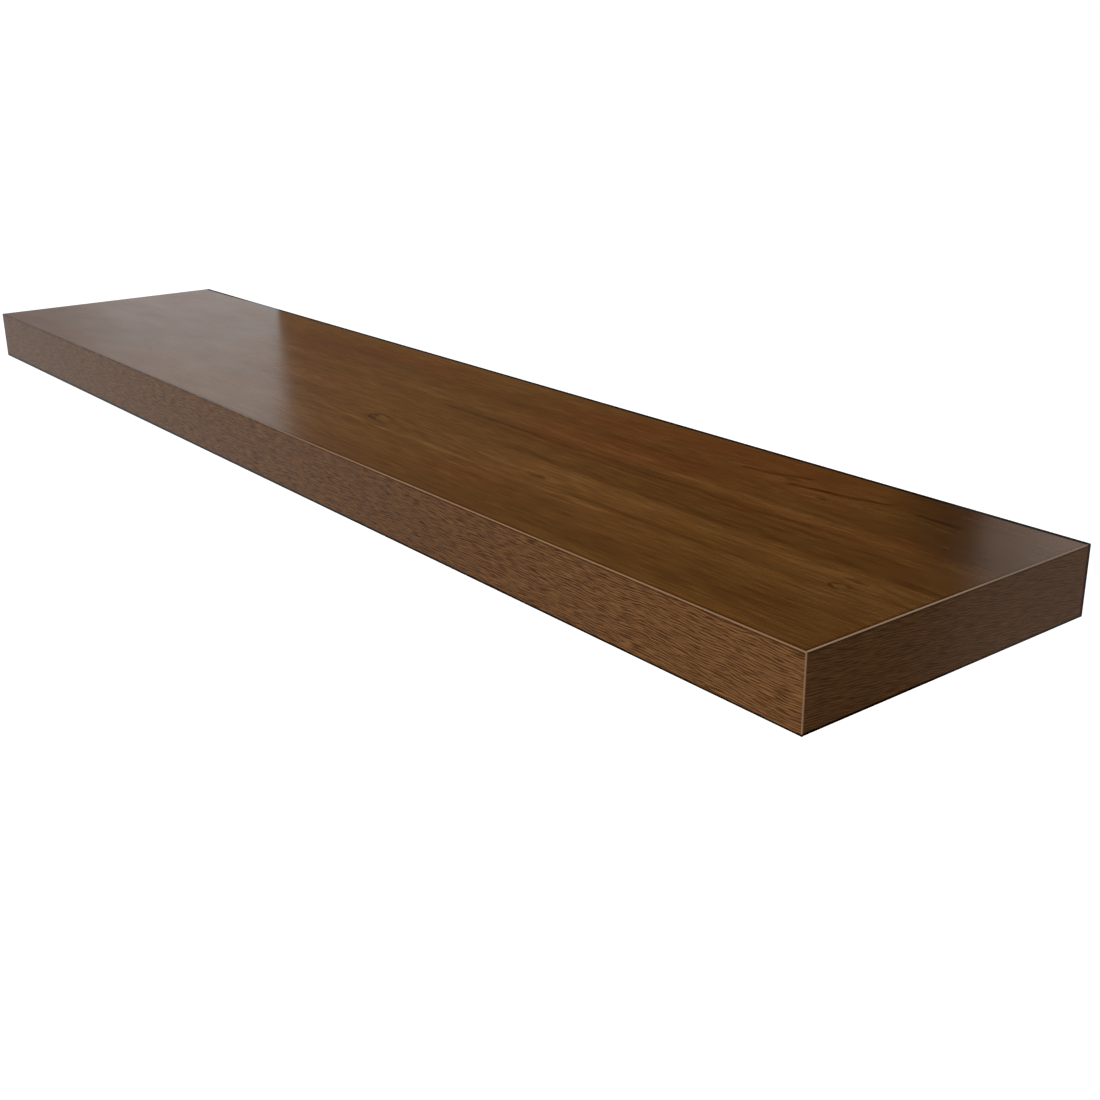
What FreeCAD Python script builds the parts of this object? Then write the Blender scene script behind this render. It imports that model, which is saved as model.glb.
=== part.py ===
"""Floating wall shelf: a hollow laminated board that slides onto a hidden steel bracket.

The board is a frame of rails and ribs between two laminated skins. Kraft honeycomb fills its bays, and
an embossed band covers the front edge and both ends. The bracket is a flat wall rail with round rods
welded to it. The rods go into bores in the ribs, and two set screws under the shelf clamp the outer rods.

Millimetres. X runs along the shelf, -Y points into the room and +Z is up. The origin is the middle of
the wall rail's back face, on the wall.
"""

import FreeCAD, Part

import math
import os

import Sketcher

# Driving dimensions: alias, millimetres (or a count), what it is.
DIMENSIONS = [
    ("shelf_length", 1220, "overall length along the wall"),
    ("shelf_depth", 254, "overall depth out from the wall"),
    ("shelf_thickness", 48, "overall thickness"),
    ("laminate_thickness", 0.8, "decorative sheet on the top, backing sheet underneath"),
    ("skin_thickness", 3.2, "fibreboard skin under each laminate"),
    ("band_thickness", 1.0, "edge band"),
    ("band_rounding", 0.8, "trimmed round on the band's outer arrises"),
    ("front_rail_width", 30, "frame rail behind the front band"),
    ("back_rail_width", 40, "frame rail against the wall"),
    ("end_rail_width", 30, "frame rail at each end"),
    ("rib_width", 44, "solid rib round each rod"),
    ("rod_count", 4, "rods on the bracket"),
    ("rod_diameter", 12, "rod"),
    ("rod_length", 152.4, "rod, from the wall rail's front face to its tip"),
    ("rod_end_inset", 152.8, "shelf's end to the outer rod"),
    ("rod_tip_chamfer", 1.5, "lead-in at the rod's tip"),
    ("rod_shoulder", 1.0, "step down to the spigot in the wall rail"),
    ("rod_clearance", 0.3, "radial gap between a rod and its bore"),
    ("bore_end_gap", 8, "bore depth beyond the rod's tip"),
    ("weld_leg", 3, "fillet weld round the rod's root"),
    ("weld_clearance", 1, "gap round the weld, in its relief"),
    ("wall_rail_height", 28, "wall rail"),
    ("wall_rail_thickness", 5, "wall rail"),
    ("wall_rail_inset", 60, "shelf's end to the wall rail's end"),
    ("wall_rail_corner", 4, "rounded corners of the wall rail"),
    ("channel_end_gap", 2, "channel beyond each end of the wall rail"),
    ("channel_edge_gap", 1, "channel above and below the wall rail"),
    ("channel_face_gap", 1, "channel in front of the wall rail"),
    ("wall_hole_diameter", 6.5, "hole for a wall screw"),
    ("wall_hole_head", 12.5, "countersink of a wall screw"),
    ("wall_hole_head_angle", 90, "countersink of a wall screw, degrees"),
    ("wall_hole_offset", 50.8, "rod to the wall screw beside it"),
    ("lock_screw_inset", 62, "wall to the axis of a set screw"),
    ("lock_screw_diameter", 6, "set screw, over its thread"),
    ("lock_screw_recess", 1.95, "set screw's lower end inside the underside"),
    ("lock_thread_pitch", 1, "set screw thread"),
    ("lock_thread_depth", 0.55, "set screw thread"),
    ("lock_socket_flats", 3, "hexagon socket across flats"),
    ("lock_socket_depth", 4, "hexagon socket"),
    ("lock_tip_diameter", 4, "flat point of the set screw"),
    ("lock_tip_gap", 0.05, "point of the set screw to the rod"),
    ("insert_diameter", 10, "threaded insert, over its barbs"),
    ("insert_length", 13, "threaded insert"),
    ("insert_barb_depth", 0.6, "groove between two barbs"),
    ("insert_barb_count", 4, "barbs on an insert"),
    ("insert_thread_clearance", 0.1, "radial gap between the set screw and its insert"),
    ("cell_flats", 22, "honeycomb cell across flats"),
    ("paper_thickness", 0.4, "honeycomb paper"),
]

# Places that several sub-parts share, as expressions on the sheet.
TOP = "(dims.shelf_thickness / 2)"
TOP_SKIN_FACE = "(dims.shelf_thickness / 2 - dims.laminate_thickness)"
CORE_TOP = "(dims.shelf_thickness / 2 - dims.laminate_thickness - dims.skin_thickness)"
SHELF_END = "(dims.shelf_length / 2)"
PANEL_END = "(dims.shelf_length / 2 - dims.band_thickness)"
SHELF_FRONT = "(-dims.shelf_depth)"
PANEL_FRONT = "(-dims.shelf_depth + dims.band_thickness)"
BAY_FRONT = "(-dims.shelf_depth + dims.band_thickness + dims.front_rail_width)"
BAY_BACK = "(-dims.back_rail_width)"
BAY_END = "(dims.shelf_length / 2 - dims.band_thickness - dims.end_rail_width)"
OUTER_ROD = "(dims.shelf_length / 2 - dims.rod_end_inset)"
WALL_RAIL_END = "(dims.shelf_length / 2 - dims.wall_rail_inset)"
CHANNEL_FLOOR = "(dims.wall_rail_thickness + dims.channel_face_gap)"
BORE_DIAMETER = "(dims.rod_diameter + 2 * dims.rod_clearance)"
ROD_TIP = "(dims.wall_rail_thickness + dims.rod_length)"
THROUGH_SKIN = "(dims.laminate_thickness + dims.skin_thickness)"
LOCK_SCREW_END = "(dims.lock_screw_recess - dims.shelf_thickness / 2)"
LOCK_SCREW_TIP = "(-dims.rod_diameter / 2 - dims.lock_tip_gap)"

SAME_PLACE = 1e-3  # two places nearer than this are one
ROUNDING_LIMIT = 0.9  # the most of the band's thickness that its rounding takes
BARB_LAND = 0.6  # share of a barb's pitch at full diameter
THREAD_START = 0.5  # turns before the first crest
THREAD_CREST = 0.2  # share of the pitch
THREAD_FLANK = 0.4  # share of the pitch

doc = FreeCAD.newDocument("floating_wall_shelf")
sheet = doc.addObject("Spreadsheet::Sheet", "dims")
subparts = []


def fill_sheet():
    """Writes the driving dimensions, one alias to a row."""
    for row, (alias, number, meaning) in enumerate(DIMENSIONS, start=1):
        sheet.set(f"A{row}", alias)
        sheet.set(f"B{row}", str(number))
        sheet.set(f"C{row}", meaning)
        sheet.setAlias(f"B{row}", alias)
    doc.recompute()


def size(alias):
    """A driving dimension's number."""
    return float(sheet.get(alias))


def number_of(expression):
    """The number that an expression on the sheet comes to."""
    result = sheet.evalExpression(expression)
    return float(getattr(result, "Value", result))


def new_body(label):
    """An empty body that becomes one sub-part."""
    body = doc.addObject("PartDesign::Body", label)
    body.Label = label
    subparts.append(body)
    return body


def new_sketch(body, name, plane, offset="0"):
    """A sketch on one of the body's origin planes, moved along that plane's normal."""
    sketch = body.newObject("Sketcher::SketchObject", name)
    support = next(f for f in body.Origin.OriginFeatures if f.Role == plane)
    sketch.AttachmentSupport = [(support, "")]
    sketch.MapMode = "FlatFace"
    sketch.setExpression("AttachmentOffset.Base.z", offset)
    return sketch


def bind(sketch, kind, *where_and_guess, expression):
    """Adds one dimensional constraint and binds it to an expression."""
    index = sketch.addConstraint(Sketcher.Constraint(kind, *where_and_guess))
    sketch.setExpression(f"Constraints[{index}]", expression)


def add_rectangle(sketch, low_x, high_x, low_y, high_y):
    """A rectangle between four expressions, measured from the sketch's origin."""
    corners = [(-1, -1), (1, -1), (1, 1), (-1, 1)]
    points = [FreeCAD.Vector(x, y, 0) for x, y in corners]
    first = sketch.GeometryCount
    for i in range(4):
        sketch.addGeometry(Part.LineSegment(points[i], points[(i + 1) % 4]))
    for i in range(4):
        sketch.addConstraint(Sketcher.Constraint("Coincident", first + i, 2, first + (i + 1) % 4, 1))
    for i in (0, 2):
        sketch.addConstraint(Sketcher.Constraint("Horizontal", first + i))
        sketch.addConstraint(Sketcher.Constraint("Vertical", first + i + 1))
    bind(sketch, "DistanceX", -1, 1, first, 1, -1, expression=low_x)
    bind(sketch, "DistanceY", -1, 1, first, 1, -1, expression=low_y)
    bind(sketch, "DistanceX", -1, 1, first + 2, 1, 1, expression=high_x)
    bind(sketch, "DistanceY", -1, 1, first + 2, 1, 1, expression=high_y)


def add_circle(sketch, centre_x, centre_y, diameter):
    """A circle whose centre and diameter are expressions."""
    circle = sketch.addGeometry(Part.Circle(FreeCAD.Vector(1, 1, 0), FreeCAD.Vector(0, 0, 1), 1))
    bind(sketch, "DistanceX", -1, 1, circle, 3, 1, expression=centre_x)
    bind(sketch, "DistanceY", -1, 1, circle, 3, 1, expression=centre_y)
    bind(sketch, "Diameter", circle, 2, expression=diameter)


def add_hexagon(sketch, across_flats):
    """A regular hexagon about the sketch's origin, across its flats."""
    turns = [i * math.pi / 3 for i in range(6)]
    points = [FreeCAD.Vector(math.cos(turn), math.sin(turn), 0) for turn in turns]
    for i in range(6):
        sketch.addGeometry(Part.LineSegment(points[i], points[(i + 1) % 6]))
    rim = sketch.addGeometry(Part.Circle(FreeCAD.Vector(0, 0, 0), FreeCAD.Vector(0, 0, 1), 1), True)
    sketch.addConstraint(Sketcher.Constraint("Coincident", rim, 3, -1, 1))
    for i in range(6):
        sketch.addConstraint(Sketcher.Constraint("Coincident", i, 2, (i + 1) % 6, 1))
        sketch.addConstraint(Sketcher.Constraint("PointOnObject", i, 1, rim))
    for i in range(1, 6):
        sketch.addConstraint(Sketcher.Constraint("Equal", 0, i))
    sketch.addConstraint(Sketcher.Constraint("PointOnObject", 0, 1, -1))
    bind(sketch, "Radius", rim, 1, expression=f"{across_flats} / sqrt(3)")


def pad(body, sketch, length):
    """Pads a sketch along its normal."""
    feature = body.newObject("PartDesign::Pad", f"{body.Name}_pad")
    feature.Profile = sketch
    feature.setExpression("Length", length)


def check_cut(body, volume_before):
    """Stops if the body's last feature cut nothing."""
    doc.recompute()
    if body.Shape.Volume >= volume_before:
        raise RuntimeError(f"{body.Tip.Name} cuts nothing")


def pocket(body, sketch, depth):
    """Cuts a sketch into the body along its normal, and makes sure that it cut something."""
    doc.recompute()
    before = body.Shape.Volume
    feature = body.newObject("PartDesign::Pocket", f"{sketch.Name}_pocket")
    feature.Profile = sketch
    feature.Reversed = True
    feature.setExpression("Length", depth)
    check_cut(body, before)


def revolve(body, sketch, about):
    """Revolves a sketch a full turn about one of the body's origin axes."""
    feature = body.newObject("PartDesign::Revolution", f"{body.Name}_revolution")
    feature.Profile = sketch
    axis = next(f for f in body.Origin.OriginFeatures if f.Role == about)
    feature.ReferenceAxis = (axis, [""])
    feature.Angle = 360


def add_outline(sketch, points):
    """A closed outline of straight lines, each point given as two expressions from the sketch's origin."""
    count = len(points)
    guess = [(number_of(x), number_of(y)) for x, y in points]
    for i in range(count):
        start = FreeCAD.Vector(*guess[i], 0)
        end = FreeCAD.Vector(*guess[(i + 1) % count], 0)
        sketch.addGeometry(Part.LineSegment(start, end))
    for i in range(count):
        sketch.addConstraint(Sketcher.Constraint("Coincident", i, 2, (i + 1) % count, 1))
    for i, (x, y) in enumerate(points):
        bind(sketch, "DistanceX", -1, 1, i, 1, guess[i][0], expression=x)
        bind(sketch, "DistanceY", -1, 1, i, 1, guess[i][1], expression=y)


def board(label, x, y, z):
    """A rectangular board between three pairs of expressions."""
    body = new_body(label)
    sketch = new_sketch(body, f"{label}_outline", "XY_Plane", offset=z[0])
    add_rectangle(sketch, x[0], x[1], y[0], y[1])
    pad(body, sketch, f"{z[1]} - {z[0]}")
    return body


def rod_positions():
    """Each rod's X as an expression, from the left."""
    count = int(size("rod_count"))
    return [f"({OUTER_ROD} * ({2 * i} / (dims.rod_count - 1) - 1))" for i in range(count)]


def minus(expression):
    """The expression with its sign turned."""
    return f"(-{expression})"


def round_edges(body, chosen, radius):
    """Rounds the body's edges whose middle points pass the test."""
    doc.recompute()
    base = body.Tip
    names = [f"Edge{i}" for i, edge in enumerate(base.Shape.Edges, start=1) if chosen(edge.CenterOfMass)]
    fillet = body.newObject("PartDesign::Fillet", f"{body.Name}_rounding")
    fillet.Base = (base, names)
    fillet.setExpression("Radius", radius)


# --- The board ---------------------------------------------------------------------------------------


def build_laminates_and_skins():
    """The two faces of the board, with a hole underneath for each threaded insert."""
    across = (minus(PANEL_END), PANEL_END)
    deep = (PANEL_FRONT, "0")
    board("top_laminate", across, deep, (TOP_SKIN_FACE, TOP))
    board("top_skin", across, deep, (CORE_TOP, TOP_SKIN_FACE))
    skin = board("bottom_skin", across, deep, (minus(TOP_SKIN_FACE), minus(CORE_TOP)))
    laminate = board("bottom_laminate", across, deep, (minus(TOP), minus(TOP_SKIN_FACE)))
    for body in (skin, laminate):
        holes = new_sketch(body, f"{body.Label}_insert_holes", "XY_Plane", offset=minus(TOP))
        for x in (minus(OUTER_ROD), OUTER_ROD):
            add_circle(holes, x, "-dims.lock_screw_inset", "dims.insert_diameter")
        pocket(body, holes, THROUGH_SKIN)


def build_frame_rails():
    """The rails round the board's edge. The back one holds the wall rail's channel and the rod bores."""
    core = (minus(CORE_TOP), CORE_TOP)
    across = (minus(PANEL_END), PANEL_END)
    board("front_rail", across, (PANEL_FRONT, BAY_FRONT), core)
    board("left_end_rail", (minus(PANEL_END), minus(BAY_END)), (BAY_FRONT, BAY_BACK), core)
    board("right_end_rail", (BAY_END, PANEL_END), (BAY_FRONT, BAY_BACK), core)
    back = board("back_rail", across, (BAY_BACK, "0"), core)
    channel = new_sketch(back, "channel", "XZ_Plane")
    half_length = f"({WALL_RAIL_END} + dims.channel_end_gap)"
    half_height = "(dims.wall_rail_height / 2 + dims.channel_edge_gap)"
    add_rectangle(channel, minus(half_length), half_length, minus(half_height), half_height)
    pocket(back, channel, CHANNEL_FLOOR)
    relief = new_sketch(back, "weld_relief", "XZ_Plane", offset=CHANNEL_FLOOR)
    bores = new_sketch(back, "rod_bores", "XZ_Plane", offset=CHANNEL_FLOOR)
    for x in rod_positions():
        add_circle(relief, x, "0", "dims.rod_diameter + 2 * (dims.weld_leg + dims.weld_clearance)")
        add_circle(bores, x, "0", BORE_DIAMETER)
    pocket(back, relief, "dims.weld_leg")
    pocket(back, bores, f"dims.back_rail_width - {CHANNEL_FLOOR}")


def build_ribs():
    """A solid rib round each rod. The outer two also take a threaded insert from below."""
    core = (minus(CORE_TOP), CORE_TOP)
    positions = rod_positions()
    for number, x in enumerate(positions, start=1):
        sides = (f"{x} - dims.rib_width / 2", f"{x} + dims.rib_width / 2")
        rib = board(f"rib_{number}", sides, (BAY_FRONT, BAY_BACK), core)
        bore = new_sketch(rib, f"rib_{number}_bore", "XZ_Plane", offset="dims.back_rail_width")
        add_circle(bore, x, "0", BORE_DIAMETER)
        pocket(rib, bore, f"{ROD_TIP} + dims.bore_end_gap - dims.back_rail_width")
        if number in (1, len(positions)):
            hole = new_sketch(rib, f"rib_{number}_insert_hole", "XY_Plane", offset=minus(CORE_TOP))
            add_circle(hole, x, "-dims.lock_screw_inset", "dims.insert_diameter")
            pocket(rib, hole, CORE_TOP)


def honeycomb_face(low_x, high_x, low_y, high_y):
    """The honeycomb's cut across a bay: the bay less its cells. Its upright walls are two strips, glued."""
    flats = size("cell_flats")
    paper = size("paper_thickness")
    side = flats / math.sqrt(3)
    step_x = flats + 2 * paper
    step_y = 1.5 * side + paper / math.sqrt(3)
    middle_x = (low_x + high_x) / 2
    middle_y = (low_y + high_y) / 2
    columns = math.ceil((high_x - low_x) / step_x / 2) + 1
    rows = math.ceil((high_y - low_y) / step_y / 2) + 1
    bay = Part.makePlane(high_x - low_x, high_y - low_y, FreeCAD.Vector(low_x, low_y, 0))
    cells = []
    for row in range(-rows, rows + 1):
        for column in range(-columns, columns + 1):
            x = middle_x + (column + 0.5 * (row % 2)) * step_x
            y = middle_y + row * step_y
            corners = [
                FreeCAD.Vector(x + side * math.sin(k * math.pi / 3), y + side * math.cos(k * math.pi / 3), 0)
                for k in range(6)
            ]
            cell = Part.Face(Part.makePolygon(corners + corners[:1]))
            if cell.BoundBox.intersect(bay.BoundBox):
                cells.append(cell)
    return max(bay.cut(Part.makeCompound(cells)).Faces, key=lambda face: face.Area)


def build_honeycomb():
    """Kraft honeycomb in each bay between the end rails and the ribs, glued to both skins."""
    half_rib = size("rib_width") / 2
    ribs = [number_of(x) for x in rod_positions()]
    bay_end = number_of(BAY_END)
    lows = [-bay_end] + [x + half_rib for x in ribs]
    highs = [x - half_rib for x in ribs] + [bay_end]
    core_top = number_of(CORE_TOP)
    for number, (low_x, high_x) in enumerate(zip(lows, highs), start=1):
        label = f"honeycomb_{number}"
        face = honeycomb_face(low_x, high_x, number_of(BAY_FRONT), number_of(BAY_BACK))
        feature = doc.addObject("Part::Feature", label)
        feature.Label = label
        feature.Shape = face.extrude(FreeCAD.Vector(0, 0, 2 * core_top))
        feature.Placement = FreeCAD.Placement(FreeCAD.Vector(0, 0, -core_top), FreeCAD.Rotation())
        subparts.append(feature)


def build_edge_bands():
    """The front band, which laps over both end bands, and the end bands, rounded where they show."""
    full = (minus(TOP), TOP)
    front = board("front_edge_band", (minus(SHELF_END), SHELF_END), (SHELF_FRONT, PANEL_FRONT), full)
    left = board("left_edge_band", (minus(SHELF_END), minus(PANEL_END)), (PANEL_FRONT, "0"), full)
    right = board("right_edge_band", (PANEL_END, SHELF_END), (PANEL_FRONT, "0"), full)
    front_y = number_of(SHELF_FRONT)
    panel_front_y = number_of(PANEL_FRONT)
    shelf_end = number_of(SHELF_END)
    radius = f"min(dims.band_rounding; dims.band_thickness * {ROUNDING_LIMIT})"
    round_edges(front, lambda p: abs(p.y - front_y) < SAME_PLACE, radius)
    for band in (left, right):
        round_edges(
            band,
            lambda p: abs(abs(p.x) - shelf_end) < SAME_PLACE and abs(p.y - panel_front_y) > SAME_PLACE,
            radius,
        )


# --- The lock screws ---------------------------------------------------------------------------------


def build_insert(label, x):
    """A barbed insert, flush with the underside, that the set screw threads into."""
    insert = new_body(label)
    profile = new_sketch(insert, f"{label}_profile", "XZ_Plane")
    inner = "(dims.lock_screw_diameter / 2 + dims.insert_thread_clearance)"
    outer = "(dims.insert_diameter / 2)"
    waist = "(dims.insert_diameter / 2 - dims.insert_barb_depth)"
    barbs = int(size("insert_barb_count"))
    points = [(inner, "0"), (outer, "0")]
    for barb in range(barbs):
        land_end = f"dims.insert_length * {barb + BARB_LAND} / dims.insert_barb_count"
        points.append((outer, land_end))
        points.append((waist, f"{land_end} + dims.insert_barb_depth / 2"))
        if barb < barbs - 1:
            points.append((outer, f"dims.insert_length * {barb + 1} / dims.insert_barb_count"))
    points += [(waist, "dims.insert_length"), (inner, "dims.insert_length")]
    add_outline(profile, points)
    revolve(insert, profile, "Z_Axis")
    insert.setExpression("Placement.Base.x", x)
    insert.setExpression("Placement.Base.y", "-dims.lock_screw_inset")
    insert.setExpression("Placement.Base.z", minus(TOP))


def build_lock_screw(label, x):
    """A set screw with a flat point, its thread as rings, and a hexagon socket in its lower end."""
    screw = new_body(label)
    profile = new_sketch(screw, f"{label}_profile", "XZ_Plane")
    crest = "(dims.lock_screw_diameter / 2)"
    root = "(dims.lock_screw_diameter / 2 - dims.lock_thread_depth)"
    tip = "(dims.lock_tip_diameter / 2)"
    length = f"({LOCK_SCREW_TIP} - {LOCK_SCREW_END})"
    turns = round(number_of(length) / size("lock_thread_pitch")) - 2
    points = [("0", "0"), (root, "0")]
    for turn in range(turns):
        start = turn + THREAD_START
        points.append((crest, f"dims.lock_thread_pitch * {start}"))
        points.append((crest, f"dims.lock_thread_pitch * {start + THREAD_CREST}"))
        points.append((root, f"dims.lock_thread_pitch * {start + THREAD_CREST + THREAD_FLANK}"))
    points += [(root, f"{length} - dims.lock_thread_pitch"), (tip, length), ("0", length)]
    add_outline(profile, points)
    revolve(screw, profile, "Z_Axis")
    socket = new_sketch(screw, f"{label}_socket", "XY_Plane")
    add_hexagon(socket, "dims.lock_socket_flats")
    pocket(screw, socket, "dims.lock_socket_depth")
    screw.setExpression("Placement.Base.x", x)
    screw.setExpression("Placement.Base.y", "-dims.lock_screw_inset")
    screw.setExpression("Placement.Base.z", LOCK_SCREW_END)


def build_locks():
    """An insert and a set screw under each outer rod."""
    for side, x in (("left", minus(OUTER_ROD)), ("right", OUTER_ROD)):
        build_insert(f"{side}_lock_insert", x)
        build_lock_screw(f"{side}_lock_screw", x)


# --- The bracket -------------------------------------------------------------------------------------


def build_wall_rail():
    """The flat bar on the wall, with a hole for each rod's spigot and countersunk holes for wall screws."""
    half_height = "(dims.wall_rail_height / 2)"
    rail = new_body("wall_rail")
    outline = new_sketch(rail, "wall_rail_outline", "XZ_Plane")
    add_rectangle(outline, minus(WALL_RAIL_END), WALL_RAIL_END, minus(half_height), half_height)
    pad(rail, outline, "dims.wall_rail_thickness")
    rail_end = number_of(WALL_RAIL_END)
    rail_top = size("wall_rail_height") / 2
    round_edges(
        rail,
        lambda p: abs(abs(p.x) - rail_end) < SAME_PLACE and abs(abs(p.z) - rail_top) < SAME_PLACE,
        "dims.wall_rail_corner",
    )
    spigots = new_sketch(rail, "spigot_holes", "XZ_Plane")
    for x in rod_positions():
        add_circle(spigots, x, "0", "dims.rod_diameter - 2 * dims.rod_shoulder")
    pocket(rail, spigots, "dims.wall_rail_thickness")
    inner_rod = f"({OUTER_ROD} / (dims.rod_count - 1))"
    screws = [
        f"-({OUTER_ROD} - dims.wall_hole_offset)",
        f"-({inner_rod} + dims.wall_hole_offset)",
        "0",
        f"{inner_rod} + dims.wall_hole_offset",
        f"{OUTER_ROD} - dims.wall_hole_offset",
    ]
    places = new_sketch(rail, "wall_screw_places", "XZ_Plane", offset="dims.wall_rail_thickness")
    for x in screws:
        add_circle(places, x, "0", "dims.wall_hole_diameter")
    doc.recompute()
    before = rail.Shape.Volume
    holes = rail.newObject("PartDesign::Hole", "wall_screw_holes")
    holes.Profile = places
    holes.Threaded = False
    holes.DepthType = "ThroughAll"
    holes.HoleCutType = "Countersink"
    holes.HoleCutCustomValues = True
    holes.setExpression("Diameter", "dims.wall_hole_diameter")
    holes.setExpression("HoleCutDiameter", "dims.wall_hole_head")
    holes.setExpression("HoleCutCountersinkAngle", "dims.wall_hole_head_angle")
    check_cut(rail, before)


def build_rods():
    """The rods: a spigot through the wall rail, a shoulder on its face and a chamfered tip."""
    radius = "(dims.rod_diameter / 2)"
    spigot = "(dims.rod_diameter / 2 - dims.rod_shoulder)"
    rail_face = "(-dims.wall_rail_thickness)"
    tip = minus(ROD_TIP)
    for number, x in enumerate(rod_positions(), start=1):
        rod = new_body(f"rod_{number}")
        profile = new_sketch(rod, f"rod_{number}_profile", "XY_Plane")
        add_outline(
            profile,
            [
                ("0", "0"),
                (spigot, "0"),
                (spigot, rail_face),
                (radius, rail_face),
                (radius, f"{tip} + dims.rod_tip_chamfer"),
                (f"{radius} - dims.rod_tip_chamfer", tip),
                ("0", tip),
            ],
        )
        revolve(rod, profile, "Y_Axis")
        rod.setExpression("Placement.Base.x", x)


def build_welds():
    """The fillet weld round each rod's root, on the wall rail's front face."""
    radius = "(dims.rod_diameter / 2)"
    rail_face = "(-dims.wall_rail_thickness)"
    for number, x in enumerate(rod_positions(), start=1):
        weld = new_body(f"weld_{number}")
        profile = new_sketch(weld, f"weld_{number}_profile", "XY_Plane")
        add_outline(
            profile,
            [
                (radius, rail_face),
                (f"{radius} + dims.weld_leg", rail_face),
                (radius, f"{rail_face} - dims.weld_leg"),
            ],
        )
        revolve(weld, profile, "Y_Axis")
        weld.setExpression("Placement.Base.x", x)


def check_and_export():
    """Stops on a failed object or a bad shape, then writes each sub-part to parts/LABEL.step."""
    doc.recompute()
    for thing in doc.Objects:
        if {"Invalid", "Error"} & set(thing.State):
            raise RuntimeError(f"{thing.Label} is {thing.State}")
    for part in subparts:
        if part.Shape.isNull() or not part.Shape.isValid() or not part.Shape.Solids:
            raise RuntimeError(f"{part.Label} has a bad shape")
    os.makedirs("parts", exist_ok=True)
    for part in subparts:
        part.Shape.exportStep(f"parts/{part.Label}.step")
        print(f"{part.Label:20s} {len(part.Shape.Solids)} solid, {part.Shape.Volume / 1000:9.2f} cm3")


fill_sheet()
build_laminates_and_skins()
build_frame_rails()
build_ribs()
build_honeycomb()
build_edge_bands()
build_locks()
build_wall_rail()
build_rods()
build_welds()
check_and_export()
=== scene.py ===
"""Looks of a floating wall shelf: a hollow walnut board on a hidden steel bracket.

Metres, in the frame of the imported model: +X runs along the shelf, -Y points into the room and +Z is up. The
origin is the middle of the wall rail's back face, on the wall.
"""

import logging
import math
from dataclasses import dataclass, replace
from enum import Enum
from typing import Any, Iterable

import bmesh
import bpy
from mathutils import Euler, Matrix, Vector


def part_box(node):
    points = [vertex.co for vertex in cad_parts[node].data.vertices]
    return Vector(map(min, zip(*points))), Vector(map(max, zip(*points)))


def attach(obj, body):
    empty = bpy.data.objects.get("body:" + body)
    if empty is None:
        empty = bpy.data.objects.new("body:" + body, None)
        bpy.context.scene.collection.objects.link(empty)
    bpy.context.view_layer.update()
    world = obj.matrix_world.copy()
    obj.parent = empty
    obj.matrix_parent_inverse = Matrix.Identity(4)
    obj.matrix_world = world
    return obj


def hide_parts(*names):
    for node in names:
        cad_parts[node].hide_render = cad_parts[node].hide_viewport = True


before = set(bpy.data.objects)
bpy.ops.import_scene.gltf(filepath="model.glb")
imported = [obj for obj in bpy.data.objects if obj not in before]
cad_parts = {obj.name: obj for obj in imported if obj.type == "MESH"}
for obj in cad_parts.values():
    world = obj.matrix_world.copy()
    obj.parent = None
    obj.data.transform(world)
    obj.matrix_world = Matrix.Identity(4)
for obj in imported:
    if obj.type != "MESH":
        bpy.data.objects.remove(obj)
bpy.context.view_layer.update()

LOG = logging.getLogger("shelf")
PICTURE_PIXELS = 1100
SENSOR_WIDTH = 36.0  # mm
MERGE_DISTANCE = 1e-7

Colour = tuple[float, float, float, float]
Span = tuple[float, float]
Place = tuple[float, float, float]
Material = bpy.types.Material
Object = bpy.types.Object
Socket = bpy.types.NodeSocket


def paint(red: float, green: float, blue: float) -> Colour:
    """Turns a screen colour into the linear colour that nodes take.

    Args:
        red: Red from 0 to 255.
        green: Green from 0 to 255.
        blue: Blue from 0 to 255.

    Returns:
        The linear colour, opaque.
    """
    linear = []
    for channel in (red, green, blue):
        share = channel / 255
        linear.append(share / 12.92 if share <= 0.04045 else ((share + 0.055) / 1.055) ** 2.4)
    return (linear[0], linear[1], linear[2], 1.0)


def grey(level: float) -> Colour:
    """A neutral linear colour."""
    return (level, level, level, 1.0)


def numbered(kind: str, count: int) -> list[str]:
    """The names of numbered nodes, from 1."""
    return [f"{kind}_{number + 1}" for number in range(count)]


def add_object(name: str, data: bpy.types.ID) -> Object:
    """Puts a new object in the scene, at the origin.

    Args:
        name: Its name.
        data: Its mesh, lamp or camera.

    Returns:
        The object.
    """
    made = bpy.data.objects.new(name, data)
    bpy.context.scene.collection.objects.link(made)
    return made


def hide_from(thing: Object, *rays: str) -> None:
    """Hides an object from some kinds of ray."""
    for ray in rays:
        setattr(thing, f"visible_{ray}", False)


class Blend(Enum):
    """How one colour goes over another."""

    MIX = "MIX"
    MULTIPLY = "MULTIPLY"


class Grain(Enum):
    """The way that a finish's grain runs."""

    ALONG_SHELF = "x"
    ALONG_DEPTH = "y"


# --- Nodes ---------------------------------------------------------------------------------------------


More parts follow.
